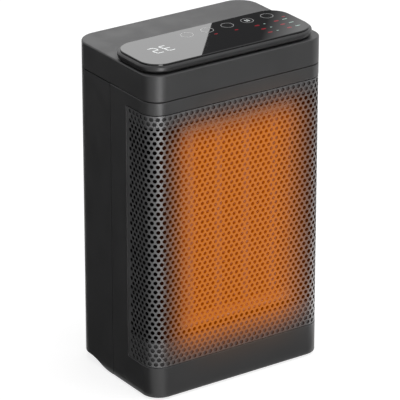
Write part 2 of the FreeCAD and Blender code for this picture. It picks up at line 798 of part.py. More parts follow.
def rocker_body():
    """Mains switch body, clipped in the recess's floor."""
    half_length = rocker_width / 2
    half_height = rocker_height / 2
    body = box(rocker_x - half_length + 0.1, rocker_x + half_length - 0.1, recess_y - 16, recess_y + 0.1,
               recess_z - half_height + 0.1, recess_z + half_height - 0.1)
    flange = box(rocker_x - half_length - 1.5, rocker_x + half_length + 1.5, recess_y, recess_y + 1.4,
                 recess_z - half_height - 1.5, recess_z + half_height + 1.5)
    well = box(rocker_x - half_length + 1.6, rocker_x + half_length - 1.6, recess_y - 12, far,
               recess_z - half_height + 1.2, recess_z + half_height - 1.2)
    start = Vector(rocker_x - half_length, recess_y - rocker_seat, recess_z)
    pivot = Part.makeCylinder(rocker_pin + running_fit, rocker_width, start, Vector(1, 0, 0))
    tabs = [box(rocker_x + side * 5 - 2.4, rocker_x + side * 5 + 2.4, recess_y - 24, recess_y - 15,
                recess_z - 0.4, recess_z + 0.4) for side in (-1, 1)]
    return fused([fused([body, flange]).cut(well).cut(pivot)] + tabs)


def rocker():
    """Rocking key with its two faces, on a pin through its middle."""
    reach = rocker_height / 2 - 2.3
    half_length = rocker_width / 2
    tilt = math.radians(rocker_tilt)
    centre = Vector(rocker_x - half_length + 1.9, recess_y - rocker_seat, recess_z)
    profile = [(-reach, 4.6), (0, 3.4), (reach, 4.6), (reach * 0.8, -3.0), (-reach * 0.8, -3.0)]
    points = []
    for z, y in profile:
        turned_y = y * math.cos(tilt) - z * math.sin(tilt)
        turned_z = y * math.sin(tilt) + z * math.cos(tilt)
        points.append(centre + Vector(0, turned_y, turned_z))
    key = Part.Face(Part.makePolygon(points + [points[0]])).extrude(Vector(rocker_width - 3.8, 0, 0))
    start = Vector(rocker_x - half_length + 0.2, recess_y - rocker_seat, recess_z)
    pin = Part.makeCylinder(rocker_pin, rocker_width - 0.4, start, Vector(1, 0, 0))
    return fused([key, pin])


def cord_bushing():
    """Bushing for the mains cord, in the recess's floor."""
    flange = rod_y(gland_flange, gland_x, recess_z, recess_y, recess_y + 2.6)
    barrel = rod_y(gland_bore + gland_wall, gland_x, recess_z, recess_y - gland_reach, recess_y + 0.5)
    nut = rod_y(gland_flange - 0.6, gland_x, recess_z, recess_y - wall - 3, recess_y - wall)
    return fused([flange, barrel, nut]).cut(rod_y(gland_bore, gland_x, recess_z, 0, far))


def save_casing():
    save(front_shell(), "front_shell")
    save(rear_shell(), "rear_shell")
    save(top_cap(), "top_cap")
    save(grille_frame(), "grille_frame")
    save(grille(), "grille")


def save_pad():
    save(pad_housing(), "pad_housing")
    save(glass_panel(), "glass_panel")
    board_low = pad_low + pad_floor + 0.2
    board = pad_plan(glass_inset + 8, board_low, board_low + 0.8)
    board = board.cut(Part.makeCompound([rod(4.0, x, y, 0, far) for x, y in pad_seats]))
    save(board, "control_board")
    top = board_low + 0.8
    gap = glass_low - 0.05 - top
    springs = [rod(key_radius - 1, x, y, top, top + gap).cut(rod(key_radius - 2, x, y, 0, far))
               for x, y in key_places()]
    save(Part.makeCompound(springs), "touch_contacts")
    display = box(display_x - display_length / 2, display_x + display_length / 2,
                  display_y - display_depth / 2, display_y + display_depth / 2, top, top + gap)
    save(display, "display_module")
    lamps = []
    for x, y in key_places()[-2:]:
        for row in range(lamp_rows):
            lamp_x = x + lamp_side
            lamp_y = y - lamp_back - row * lamp_pitch
            lamps.append(box(lamp_x - lamp_half, lamp_x + lamp_half, lamp_y - lamp_half, lamp_y + lamp_half,
                             top, top + gap))
    save(Part.makeCompound(lamps), "indicator_lamps")
    screws = [screw_up(x, y, body_height - cap_plate, pad_screw_length) for x, y in pad_seats]
    save(Part.makeCompound(screws), "pad_screws")


def save_core():
    save(heater_fins(), "heater_fins")
    save(heater_tubes(), "heater_tubes")
    save(ceramic_stones(), "ceramic_stones")
    save(contact_strips(), "contact_strips")
    low = core_z - fin_length / 2
    high = core_z + fin_length / 2
    save(end_frame(low - end_frame_height, low, low), "core_frame_lower")
    save(end_frame(high, high + end_frame_height, high - 1), "core_frame_upper")
    save(side_springs(), "core_side_springs")


def save_airway():
    save(air_duct(), "air_duct")
    save(fan_impeller(), "fan_impeller")
    save(motor_shaft(), "motor_shaft")
    save(motor_rotor(), "motor_rotor")
    save(motor_can(), "motor_can")
    save(motor_stator(), "motor_stator")
    save(motor_bushes(), "motor_bushes")
    save(motor_bracket(), "motor_bracket")
    screws = [screw_down_y(x, z, motor_front_y, bracket_screw_length) for x, z in lugs]
    save(Part.makeCompound(screws), "bracket_screws")
    save(thermostat(), "thermostat")
    start = Vector(fuse_x, limiter_y, duct_high + fuse_radius)
    fuse = Part.makeCylinder(fuse_radius, fuse_length, start, Vector(1, 0, 0))
    save(fuse, "thermal_fuse")


def save_base():
    save(base_plate(), "base_plate")
    names = ("foot_rear_left", "foot_front_left", "foot_rear_right", "foot_front_right")
    for (x, y), name in zip((feet[1], feet[0], feet[3], feet[2]), names):
        foot = rod(foot_radius - 0.05, x, y, 0, foot_height)
        save(foot.makeChamfer(0.6, edges_at(foot, 0)), name)
    screws = [screw_up(x, y, base_z, base_screw_length) for x, y in base_bosses]
    save(Part.makeCompound(screws), "base_screws")
    well_floor = plate_y + plate_thick + 4.1
    screws = [screw_down_y(x, z, well_floor, well_floor - seam_y + shell_screw_grip) for x, z in shell_bosses]
    save(Part.makeCompound(screws), "shell_screws")
    screws = [screw_down(x, y, cap_seam_z, cap_screw_length) for x, y in cap_bosses]
    save(Part.makeCompound(screws), "cap_screws")


def save_electrics():
    top = board_z + power_board_thick
    save(power_board(), "power_board")
    save(Part.makeCompound([screw_down(x, y, top, 5.0) for x, y in board_posts]), "board_screws")
    relays = [box(-14 + i * 20, 2 + i * 20, -26, -6, top, top + 15) for i in (0, 1)]
    save(Part.makeCompound(relays), "heat_relays")
    save(box(-38, -12, 12, 21, top, top + 16), "line_capacitor")
    save(rod(5.0, 0.0, 6.0, top, top + 20), "smoothing_capacitor")
    save(box(10, 32, -2, 16, top, top + 18), "supply_transformer")
    save(heat_sink(), "heat_sink")
    save(terminal_block(), "terminal_block")
    save(tip_switch_body(), "tip_switch_body")
    save(tip_plunger(), "tip_plunger")
    save(tip_spring(), "tip_spring")
    save(rocker_body(), "rocker_body")
    save(rocker(), "rocker")
    save(cord_bushing(), "cord_bushing")


save_casing()
save_pad()
save_core()
save_airway()
save_base()
save_electrics()
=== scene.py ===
import json
import math

import bmesh
import bpy
from mathutils import Matrix, Vector


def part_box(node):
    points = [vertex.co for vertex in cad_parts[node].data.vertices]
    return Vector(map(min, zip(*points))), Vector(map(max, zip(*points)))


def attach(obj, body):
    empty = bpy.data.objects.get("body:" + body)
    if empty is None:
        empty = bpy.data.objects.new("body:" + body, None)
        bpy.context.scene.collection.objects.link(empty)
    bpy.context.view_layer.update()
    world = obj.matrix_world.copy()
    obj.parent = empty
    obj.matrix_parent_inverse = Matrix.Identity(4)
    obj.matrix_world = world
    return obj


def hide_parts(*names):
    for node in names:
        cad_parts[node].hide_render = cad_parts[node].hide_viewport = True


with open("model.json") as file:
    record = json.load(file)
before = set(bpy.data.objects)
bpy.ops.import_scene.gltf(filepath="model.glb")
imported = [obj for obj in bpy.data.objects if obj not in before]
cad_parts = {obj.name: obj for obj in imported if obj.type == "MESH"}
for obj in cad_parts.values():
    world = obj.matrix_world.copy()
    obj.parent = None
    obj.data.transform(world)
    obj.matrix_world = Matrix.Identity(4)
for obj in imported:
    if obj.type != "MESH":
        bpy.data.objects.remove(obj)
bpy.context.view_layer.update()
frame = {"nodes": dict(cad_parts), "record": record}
mm = 0.001
nodes = frame["nodes"]
print("frame loaded:", len(nodes), "parts")


# materials

def addNode(tree, kind, **values):
    node = tree.nodes.new(kind)
    for key, value in values.items():
        setattr(node, key, value)
    return node


def addNoise(tree, place, size, stretch=None):
    if stretch:
        turned = addNode(tree, "ShaderNodeMapping")
        turned.inputs["Scale"].default_value = stretch
        tree.links.new(place, turned.inputs["Vector"])
        place = turned.outputs["Vector"]
    noise = addNode(tree, "ShaderNodeTexNoise")
    noise.inputs["Scale"].default_value = 1 / size
    noise.inputs["Detail"].default_value = 2
    tree.links.new(place, noise.inputs["Vector"])
    return noise.outputs["Fac"]


def addRange(tree, value, start, end, low=0.0, high=1.0, kind="LINEAR"):
    ramp = addNode(tree, "ShaderNodeMapRange", interpolation_type=kind)
    for key, number in (("From Min", start), ("From Max", end), ("To Min", low), ("To Max", high)):
        ramp.inputs[key].default_value = number
    tree.links.new(value, ramp.inputs["Value"])
    return ramp.outputs["Result"]


def multiply(tree, first, second):
    node = addNode(tree, "ShaderNodeMath", operation="MULTIPLY")
    tree.links.new(first, node.inputs[0])
    if isinstance(second, float):
        node.inputs[1].default_value = second
    else:
        tree.links.new(second, node.inputs[1])
    return node.outputs[0]


# the heater's light is painted on as glow, a soft patch of emission on the parts behind the grille and on
# the sheet, and fainter on the casing round it, though none of them is a lamp: where each side starts to
# glow and where it is full, then the colours
glow = {
    "patch": {
        "left": (-0.0735, -0.0345), "right": (0.0765, 0.0295),
        "low": (0.02, 0.056), "high": (0.2285, 0.192), "deep": (-0.018, -0.032),
    },
    "spill": {
        "left": (-0.06, -0.01), "right": (0.074, 0.03),
        "low": (0.006, 0.05), "high": (0.243, 0.2), "deep": (-0.046, -0.0515),
    },
    "core": (0.215, 0.038, 0.001),
    "sheet": (0.52, 0.132, 0.001),
    "casing": (0.05, 0.018, 0.001),
}


def product(tree, place, ranges):
    parts = addNode(tree, "ShaderNodeSeparateXYZ")
    tree.links.new(place, parts.inputs[0])
    amount = None
    for axis, (start, end) in ranges:
        part = addRange(tree, parts.outputs[axis], start, end, kind="SMOOTHSTEP")
        amount = multiply(tree, amount, part) if amount else part
    return amount


def addGlow(tree, shader, place, colour, patch):
    ranges = [("X", patch["left"]), ("X", patch["right"]), ("Z", patch["low"]), ("Z", patch["high"]),
              ("Y", patch["deep"])]
    amount = product(tree, place, ranges)
    shader.inputs["Emission Color"].default_value = (*colour, 1)
    tree.links.new(amount, shader.inputs["Emission Strength"])
    return amount


def blend(tree, shader, amount, plain, colour):
    mix = addNode(tree, "ShaderNodeMix", data_type="RGBA")
    tree.links.new(amount, mix.inputs["Factor"])
    tree.links.new(plain, mix.inputs["A"])
    mix.inputs["B"].default_value = (*colour, 1)
    tree.links.new(mix.outputs["Result"], shader.inputs["Base Color"])
    return mix.outputs["Result"]


# painted shade: the frame behind the sheet is painted near-black where the holes show only shade, but for
# its first and last rows of holes
paintedShade = {"low": (0.046, 0.047), "high": (0.217, 0.216), "colour": (0.003, 0.003, 0.003)}


def addPaintedShade(tree, shader, place, plain):
    shadedArea = product(tree, place, [("Z", paintedShade["low"]), ("Z", paintedShade["high"])])
    blend(tree, shader, shadedArea, plain, paintedShade["colour"])


# painted shade in the holes' walls, darker than the sheet's face and with less reflection: how deep the
# painted shade reaches, and its colour
boreShade = {"from": 0.03 * mm, "to": 0.25 * mm, "colour": (0.015, 0.015, 0.015), "corner": 14 * mm}


def addBoreShade(tree, shader, place, plain):
    shellLow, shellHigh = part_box("front_shell")
    flatHalf, cornerY = shellHigh.x - boreShade["corner"], shellLow.y + boreShade["corner"]
    parts = addNode(tree, "ShaderNodeSeparateXYZ")
    tree.links.new(place, parts.inputs[0])
    across = addNode(tree, "ShaderNodeMath", operation="ABSOLUTE")
    tree.links.new(parts.outputs["X"], across.inputs[0])
    reach = addNode(tree, "ShaderNodeCombineXYZ")      # how far out from the bend's centre, or the flat
    tree.links.new(addRange(tree, across.outputs[0], flatHalf, 1, 0, 1 - flatHalf), reach.inputs["X"])
    tree.links.new(addRange(tree, parts.outputs["Y"], cornerY, -1, 0, 1 + cornerY), reach.inputs["Y"])
    length = addNode(tree, "ShaderNodeVectorMath", operation="LENGTH")
    tree.links.new(reach.outputs[0], length.inputs[0])
    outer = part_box("grille")[1].x - flatHalf
    deep = addRange(tree, length.outputs["Value"], outer - boreShade["from"], outer - boreShade["to"])
    blend(tree, shader, deep, plain, boreShade["colour"])
    tree.links.new(addRange(tree, deep, 0, 1, 0.5, 0), shader.inputs["Specular IOR Level"])


# rough, grain (mm) and depth (mm) shape the surface; glow, glowTint, boreShade and paintedShade add the
# painted light and shade above
finishes = {
    "casing_plastic": dict(colour=(0.05, 0.05, 0.051), rough=0.42, grain=0.5, depth=0.012,
                           glow="casing", patch="spill"),
    "pad_plastic": dict(colour=(0.026, 0.026, 0.027), rough=0.36, grain=0.4, depth=0.006),
    "pad_glass": dict(colour=(0.006, 0.006, 0.007), rough=0.012, grain=60, depth=0.003, smudge=0.006),
    "grille_metal": dict(colour=(0.15, 0.15, 0.152), rough=0.43, metal=0.5, grain=0.3, depth=0.004,
                         glow="sheet", glowTint=(0.06, 0.045, 0.03), boreShade=True),
    "frame_plastic": dict(colour=(0.16, 0.16, 0.162), rough=0.6, specular=0, grain=0.5, depth=0.01,
                          glow="core", paintedShade=True),
    "duct_plastic": dict(colour=(0.03, 0.03, 0.03), rough=0.6, grain=0.6, depth=0.02, glow="core"),
    "fin_metal": dict(colour=(0.22, 0.2, 0.19), rough=0.5, metal=1, grain=0.3, depth=0.004, glow="core"),
    "stone_ceramic": dict(colour=(0.35, 0.33, 0.31), rough=0.8, grain=0.2, depth=0.02, spread=0.12,
                          glow="core"),
    "strip_brass": dict(colour=(0.78, 0.6, 0.3), rough=0.3, metal=1, grain=0.4, depth=0.004, glow="core"),
    "core_resin": dict(colour=(0.4, 0.38, 0.33), rough=0.55, grain=0.5, depth=0.02, glow="core"),
    "spring_steel": dict(colour=(0.6, 0.6, 0.6), rough=0.3, metal=1, grain=0.3, depth=0.003, glow="core"),
    "screw_steel": dict(colour=(0.5, 0.5, 0.5), rough=0.35, metal=1, grain=0.2, depth=0.004, spread=0.1),
    "motor_steel": dict(colour=(0.45, 0.45, 0.46), rough=0.4, metal=1, grain=0.5, depth=0.006, spread=0.08),
    "fan_plastic": dict(colour=(0.06, 0.06, 0.06), rough=0.45, grain=0.6, depth=0.01),
    "foot_rubber": dict(colour=(0.03, 0.03, 0.03), rough=0.85, grain=0.3, depth=0.03, spread=0.15),
    "board_resin": dict(colour=(0.04, 0.16, 0.07), rough=0.4, grain=0.5, depth=0.01, spread=0.1),
    "part_plastic": dict(colour=(0.05, 0.05, 0.06), rough=0.5, grain=0.4, depth=0.01),
    "relay_plastic": dict(colour=(0.05, 0.09, 0.22), rough=0.4, grain=0.4, depth=0.008),
    "terminal_plastic": dict(colour=(0.6, 0.58, 0.52), rough=0.5, grain=0.5, depth=0.01),
    "switch_plastic": dict(colour=(0.03, 0.03, 0.031), rough=0.3, grain=0.5, depth=0.006),
}


def makeFinish(name):
    look = finishes[name]
    material = bpy.data.materials.new(name)
    material.use_nodes = True
    tree = material.node_tree
    shader = tree.nodes["Principled BSDF"]
    place = addNode(tree, "ShaderNodeTexCoord").outputs["Object"]
    shader.inputs["Metallic"].default_value = look.get("metal", 0)
    shader.inputs["Specular IOR Level"].default_value = look.get("specular", 0.5)
    fine = addNoise(tree, place, look["grain"] * mm)
    broad = addNoise(tree, place, 14 * mm)

    spread = look.get("spread", 0.04)
    tint = addNode(tree, "ShaderNodeMix", data_type="RGBA")
    tint.inputs["A"].default_value = [c * (1 - spread) for c in look["colour"]] + [1]
    tint.inputs["B"].default_value = [c * (1 + spread) for c in look["colour"]] + [1]
    tree.links.new(broad, tint.inputs["Factor"])
    plain = tint.outputs["Result"]
    tree.links.new(plain, shader.inputs["Base Color"])

    smudge = look.get("smudge", 0.04)      # handling and dust change the gloss in patches
    gloss = addRange(tree, broad, 0.35, 0.65, look["rough"] - smudge / 2, look["rough"] + smudge)
    tree.links.new(gloss, shader.inputs["Roughness"])

    bump = addNode(tree, "ShaderNodeBump")
    bump.inputs["Strength"].default_value = 1
    bump.inputs["Distance"].default_value = look["depth"] * mm
    tree.links.new(fine, bump.inputs["Height"])
    tree.links.new(bump.outputs["Normal"], shader.inputs["Normal"])
    if look.get("glow"):
        amount = addGlow(tree, shader, place, glow[look["glow"]], glow[look.get("patch", "patch")])
        # under the painted glow the sheet's base colour is tinted orange as well, as painted light
        if look.get("glowTint"):
            plain = blend(tree, shader, amount, plain, look["glowTint"])
    if look.get("paintedShade"):
        addPaintedShade(tree, shader, place, plain)
    if look.get("boreShade"):
        addBoreShade(tree, shader, place, plain)
    return material


materials = {name: makeFinish(name) for name in finishes}
slotOf = {entry["node"]: entry["material_slot"] for entry in frame["record"]["subparts"]}
for node, part in nodes.items():
    part.data.materials.clear()
    part.data.materials.append(materials[slotOf[node]])
print("materials on", len(slotOf), "parts")


# shared modelling steps

def blockOf(low, high):
    bm = bmesh.new()
    bmesh.ops.create_cube(bm, size=1)
    low, high = Vector(low), Vector(high)
    bmesh.ops.scale(bm, vec=high - low, verts=bm.verts)
    bmesh.ops.translate(bm, vec=(low + high) / 2, verts=bm.verts)
    return bm


def facing(bm, axis, side):
    bm.normal_update()
    return [f for f in bm.faces if f.normal[axis] * side > 0.99]


def uprights(bm):
    found = []
    for edge in bm.edges:
        one, two = (v.co for v in edge.verts)
        if abs(one.z - two.z) > 0.9 * (one - two).length:
            found.append(edge)
    return found


def rounded(bm, edges, radius, segments=4):
    bmesh.ops.bevel(bm, geom=edges, offset=radius, offset_type="OFFSET", affect="EDGES",
                    segments=segments, profile=0.5, material=-1)


def rimOf(bm, faces):
    chosen = set(faces)
    return [e for e in bm.edges if sum(f in chosen for f in e.link_faces) == 1]


def sliceAt(bm, axis, at):
    point, normal = Vector(), Vector()
    point[axis], normal[axis] = at, 1
    bmesh.ops.bisect_plane(bm, geom=bm.verts[:] + bm.edges[:] + bm.faces[:], dist=1e-7,
                           plane_co=point, plane_no=normal)


def linkMesh(bm, name):
    mesh = bpy.data.meshes.new(name)
    bm.to_mesh(mesh)
    bm.free()
    piece = bpy.data.objects.new(name, mesh)
    bpy.context.scene.collection.objects.link(piece)
    return piece


def finishPiece(bm, name, finish, body="housing", stands=(), edge=0.0):
    piece = linkMesh(bm, name)
    mesh = piece.data
    mesh.materials.append(finish if isinstance(finish, bpy.types.Material) else materials[finish])
    if edge:
        soften = piece.modifiers.new("edges", "BEVEL")
        soften.limit_method = "ANGLE"
        soften.angle_limit = math.radians(50)
        soften.width = edge
        soften.segments = 2
        soften.use_clamp_overlap = True
    mesh.shade_smooth()
    mesh.set_sharp_from_angle(angle=math.radians(35))
    even = piece.modifiers.new("normals", "WEIGHTED_NORMAL")
    even.keep_sharp = True
    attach(piece, body)
    if stands:
        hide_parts(*stands)
    return piece


# casing

casing = {
    "wall": 2.2 * mm,
    "frontCorner": 14 * mm,
    "rearCorner": 17 * mm,
    "cornerSegments": 20,
    "edge": 0.35 * mm,
    "seamEdge": 0.75 * mm,
    "grilleGap": 0.55 * mm,
    "sweepStart": 6.4 * mm,
    "sweepRun": 29 * mm,
    "sweepRise": 4.6 * mm,
    "sweepTall": 12 * mm,
    "capRound": 1.1 * mm,
    "capGap": 0.8 * mm,
    "padGap": 0.9 * mm,
}


def hollow(bm, openings):
    bmesh.ops.delete(bm, geom=openings, context="FACES_ONLY")
    loose = [e for e in bm.edges if not e.link_faces]
    bmesh.ops.delete(bm, geom=loose, context="EDGES")


def thicken(bm, wall):
    bmesh.ops.remove_doubles(bm, verts=bm.verts, dist=1e-6)
    bmesh.ops.recalc_face_normals(bm, faces=bm.faces)
    bmesh.ops.solidify(bm, geom=bm.faces[:], thickness=wall)


def makeFrontShell():
    low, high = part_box("front_shell")
    gridLow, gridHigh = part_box("grille")
    gap = casing["grilleGap"]
    bm = blockOf(low, high)
    hollow(bm, facing(bm, 2, 1) + facing(bm, 2, -1) + facing(bm, 1, 1))
    front = [e for e in uprights(bm) if e.verts[0].co.y < low.y + mm]
    rounded(bm, front, casing["frontCorner"], casing["cornerSegments"])
    sliceAt(bm, 2, gridLow.z - gap)
    sliceAt(bm, 2, gridHigh.z + gap)
    sliceAt(bm, 1, gridHigh.y + gap)
    inside = []
    for face in bm.faces:
        centre = face.calc_center_median()
        if gridLow.z - gap < centre.z < gridHigh.z + gap and centre.y < gridHigh.y + gap:
            inside.append(face)
    hollow(bm, inside)
    thicken(bm, casing["wall"])
    return finishPiece(bm, "frontShell", "casing_plastic", stands=["front_shell"], edge=casing["edge"])


def sweepRise(y):
    part = min(max((y - casing["sweepStart"]) / casing["sweepRun"], 0), 1)
    bend = 2 * part ** 2 if part < 0.5 else 1 - 2 * (1 - part) ** 2
    return bend * casing["sweepRise"]


intake = {
    "rows": 13, "rowPitch": 8.4 * mm, "columnPitch": 34 * mm,
    "halfLength": 14 * mm, "halfHeight": 1.9 * mm, "middle": 132 * mm,
}
wells = {
    "inset": 15 * mm, "z": (46 * mm, 130 * mm, 218 * mm),
    "radius": 3.4 * mm, "floor": 7.5 * mm, "wall": 1.1 * mm,
}
recess = {
    "halfWidth": 50 * mm, "low": 16 * mm, "high": 46 * mm, "depth": 5 * mm, "wall": 2.2 * mm,
    "rockerX": 30 * mm, "rockerWidth": 19 * mm, "rockerHeight": 13 * mm, "openingDepth": 9 * mm,
    "glandX": -30 * mm, "glandRadius": 5.5 * mm,
}


def addBlock(bm, low, high, roundEdges=0.0):
    made = bmesh.ops.create_cube(bm, size=1)["verts"]
    low, high = Vector(low), Vector(high)
    bmesh.ops.scale(bm, vec=high - low, verts=made)
    bmesh.ops.translate(bm, vec=(low + high) / 2, verts=made)
    if roundEdges:
        along = []
        for edge in {e for v in made for e in v.link_edges}:
            one, two = (v.co for v in edge.verts)
            if abs(one.y - two.y) > 0.9 * (one - two).length:
                along.append(edge)
        rounded(bm, along, roundEdges, 6)


def addRod(bm, radius, x, z, near, far, segments=32):
    turn = Matrix.Translation((x, (near + far) / 2, z)) @ Matrix.Rotation(math.pi / 2, 4, "X")
    bmesh.ops.create_cone(bm, cap_ends=True, segments=segments, radius1=radius, radius2=radius,
                          depth=far - near, matrix=turn)


def cutWith(piece, cutterMesh):
    cutter = linkMesh(cutterMesh, "cutter")
    cut = piece.modifiers.new("cut", "BOOLEAN")
    cut.operation = "DIFFERENCE"
    cut.solver = "EXACT"
    cut.object = cutter
    bpy.context.view_layer.update()
    done = bpy.data.meshes.new_from_object(piece.evaluated_get(bpy.context.evaluated_depsgraph_get()))
    piece.modifiers.remove(cut)
    piece.data = done
    bpy.data.objects.remove(cutter)


def makeRearShell():
    low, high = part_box("rear_shell")
    wall = casing["wall"]
    wellX = high.x - wells["inset"]
    bm = blockOf((low.x, low.y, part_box("front_shell")[0].z), high)
    bottom = min(v.co.z for v in bm.verts)
    hollow(bm, facing(bm, 2, 1) + facing(bm, 2, -1) + facing(bm, 1, -1))
    rounded(bm, [e for e in uprights(bm) if e.verts[0].co.y > high.y - mm],
            casing["rearCorner"], casing["cornerSegments"])
    steps = 18
    for i in range(steps + 1):
        sliceAt(bm, 1, casing["sweepStart"] + casing["sweepRun"] * i / steps)
    sliceAt(bm, 2, bottom + casing["sweepTall"])
    for vertex in bm.verts:
        if vertex.co.z < bottom + mm:
            vertex.co.z += sweepRise(vertex.co.y)
    thicken(bm, wall)

    # slots, screw holes and the recess's opening, cut right through the rear wall
    piece = linkMesh(bm, "rearShell")
    cutter = bmesh.new()
    inner, outer = high.y - 8 * mm, high.y + 5 * mm
    half, tall = intake["halfLength"] + intake["halfHeight"], intake["halfHeight"]
    for row in range(intake["rows"]):
        z = intake["middle"] + (row - (intake["rows"] - 1) / 2) * intake["rowPitch"]
        for column in (-1, 0, 1):
            x = column * intake["columnPitch"]
            addBlock(cutter, (x - half, inner, z - tall), (x + half, outer, z + tall), tall * 0.999)
    for z in wells["z"]:
        for x in (-wellX, wellX):
            addRod(cutter, wells["radius"], x, z, inner, outer)
    wide = recess["halfWidth"]
    addBlock(cutter, (-wide, inner, recess["low"]), (wide, outer, recess["high"]))
    cutWith(piece, cutter)
    bm = bmesh.new()
    bm.from_mesh(piece.data)
    bpy.data.objects.remove(piece)

    # the recess's tray, with openings for the switch and the cord
    trayBlock = bmesh.new()
    tray = recess["wall"]
    floor = high.y - recess["depth"]
    addBlock(trayBlock, (-wide - tray, floor - tray, recess["low"] - tray),
             (wide + tray, high.y - wall / 2, recess["high"] + tray))
    trayPiece = linkMesh(trayBlock, "tray")
    cutter = bmesh.new()
    addBlock(cutter, (-wide, floor, recess["low"]), (wide, high.y + mm, recess["high"]))
    middle = (recess["low"] + recess["high"]) / 2
    inner, outer = floor - recess["openingDepth"], floor + mm
    halfWide, halfTall = recess["rockerWidth"] / 2, recess["rockerHeight"] / 2
    addBlock(cutter, (recess["rockerX"] - halfWide, inner, middle - halfTall),
             (recess["rockerX"] + halfWide, outer, middle + halfTall))
    addRod(cutter, recess["glandRadius"], recess["glandX"], middle, inner, outer)
    cutWith(trayPiece, cutter)
    bm.from_mesh(trayPiece.data)
    bpy.data.objects.remove(trayPiece)

    # screw wells: a tube from its floor to the rear wall
    for z in wells["z"]:
        for x in (-wellX, wellX):
            before = set(bm.verts)
            place = Matrix.Translation((x, wells["floor"], z)) @ Matrix.Rotation(math.pi / 2, 4, "X")
            bmesh.ops.create_circle(bm, segments=32, radius=wells["radius"], matrix=place)
            ring = [v for v in bm.verts if v not in before]
            edges = list({e for v in ring for e in v.link_edges})
            tube = bmesh.ops.extrude_edge_only(bm, edges=edges)["geom"]
            ends = [v for v in tube if isinstance(v, bmesh.types.BMVert)]
            bmesh.ops.translate(bm, vec=(0, high.y - wall / 2 - wells["floor"], 0), verts=ends)
            faces = list({f for v in ring for f in v.link_faces})
            for face in faces:
                centre = face.calc_center_median()
                face.normal_update()
                if face.normal.x * (centre.x - x) + face.normal.z * (centre.z - z) > 0:
                    face.normal_flip()
            bmesh.ops.solidify(bm, geom=faces, thickness=wells["wall"])
    return finishPiece(bm, "rearShell", "casing_plastic", stands=["rear_shell"], edge=casing["seamEdge"])


def makeTopCap():
    low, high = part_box("top_cap")
    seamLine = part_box("front_shell")[1].z + casing["capGap"]
    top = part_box("pad_housing")[0].z - casing["padGap"]
    bm = blockOf((low.x, low.y, seamLine), (high.x, high.y, top))
    hollow(bm, facing(bm, 2, -1))
    front = [e for e in uprights(bm) if e.verts[0].co.y < 0]
    rounded(bm, front, casing["frontCorner"], casing["cornerSegments"])
    rear = [e for e in uprights(bm) if e.verts[0].co.y > high.y - mm]
    rounded(bm, rear, casing["rearCorner"], casing["cornerSegments"])
    lid = facing(bm, 2, 1)
    rounded(bm, rimOf(bm, lid), casing["capRound"], 8)
    thicken(bm, casing["wall"])
    return finishPiece(bm, "topCap", "casing_plastic", stands=["top_cap"], edge=casing["edge"])


makeFrontShell()
makeRearShell()
makeTopCap()
print("casing made")


# grille

grille = {
    "hole": 1.55 * mm, "pitch": 4.75 * mm, "rowPitch": 3.69 * mm, "rows": 54,
    "margin": 2.45 * mm, "sheet": 0.8 * mm,
}


def holeCell(bm):
    pitch, row = grille["pitch"], grille["rowPitch"]
    radius = grille["hole"] / math.cos(math.pi / 12)      # twelve flat sides round the hole
    peak = (pitch ** 2 / 4 + row ** 2) / (2 * row)      # the cell's border is a six-sided outline
    shoulder = row - peak
    marks = [(pitch / 2, 0), (pitch / 2, shoulder), (pitch / 4, (peak + shoulder) / 2), (0, peak)]
    bmesh.ops.create_circle(bm, segments=12, radius=radius)
    circle = bm.edges[:]
    made = bmesh.ops.extrude_edge_only(bm, edges=circle)["geom"]
    for edge in bm.edges:
        edge.seam = edge in circle      # seams tell the holes' rims from the sheet's border
    for vertex in made:
        if isinstance(vertex, bmesh.types.BMVert):
            x, z = vertex.co.x, vertex.co.y
            mark = marks[round(math.degrees(math.atan2(abs(z), abs(x))) / 30)]
            vertex.co.x = math.copysign(mark[0], x) if mark[0] else 0
            vertex.co.y = math.copysign(mark[1], z) if mark[1] else 0


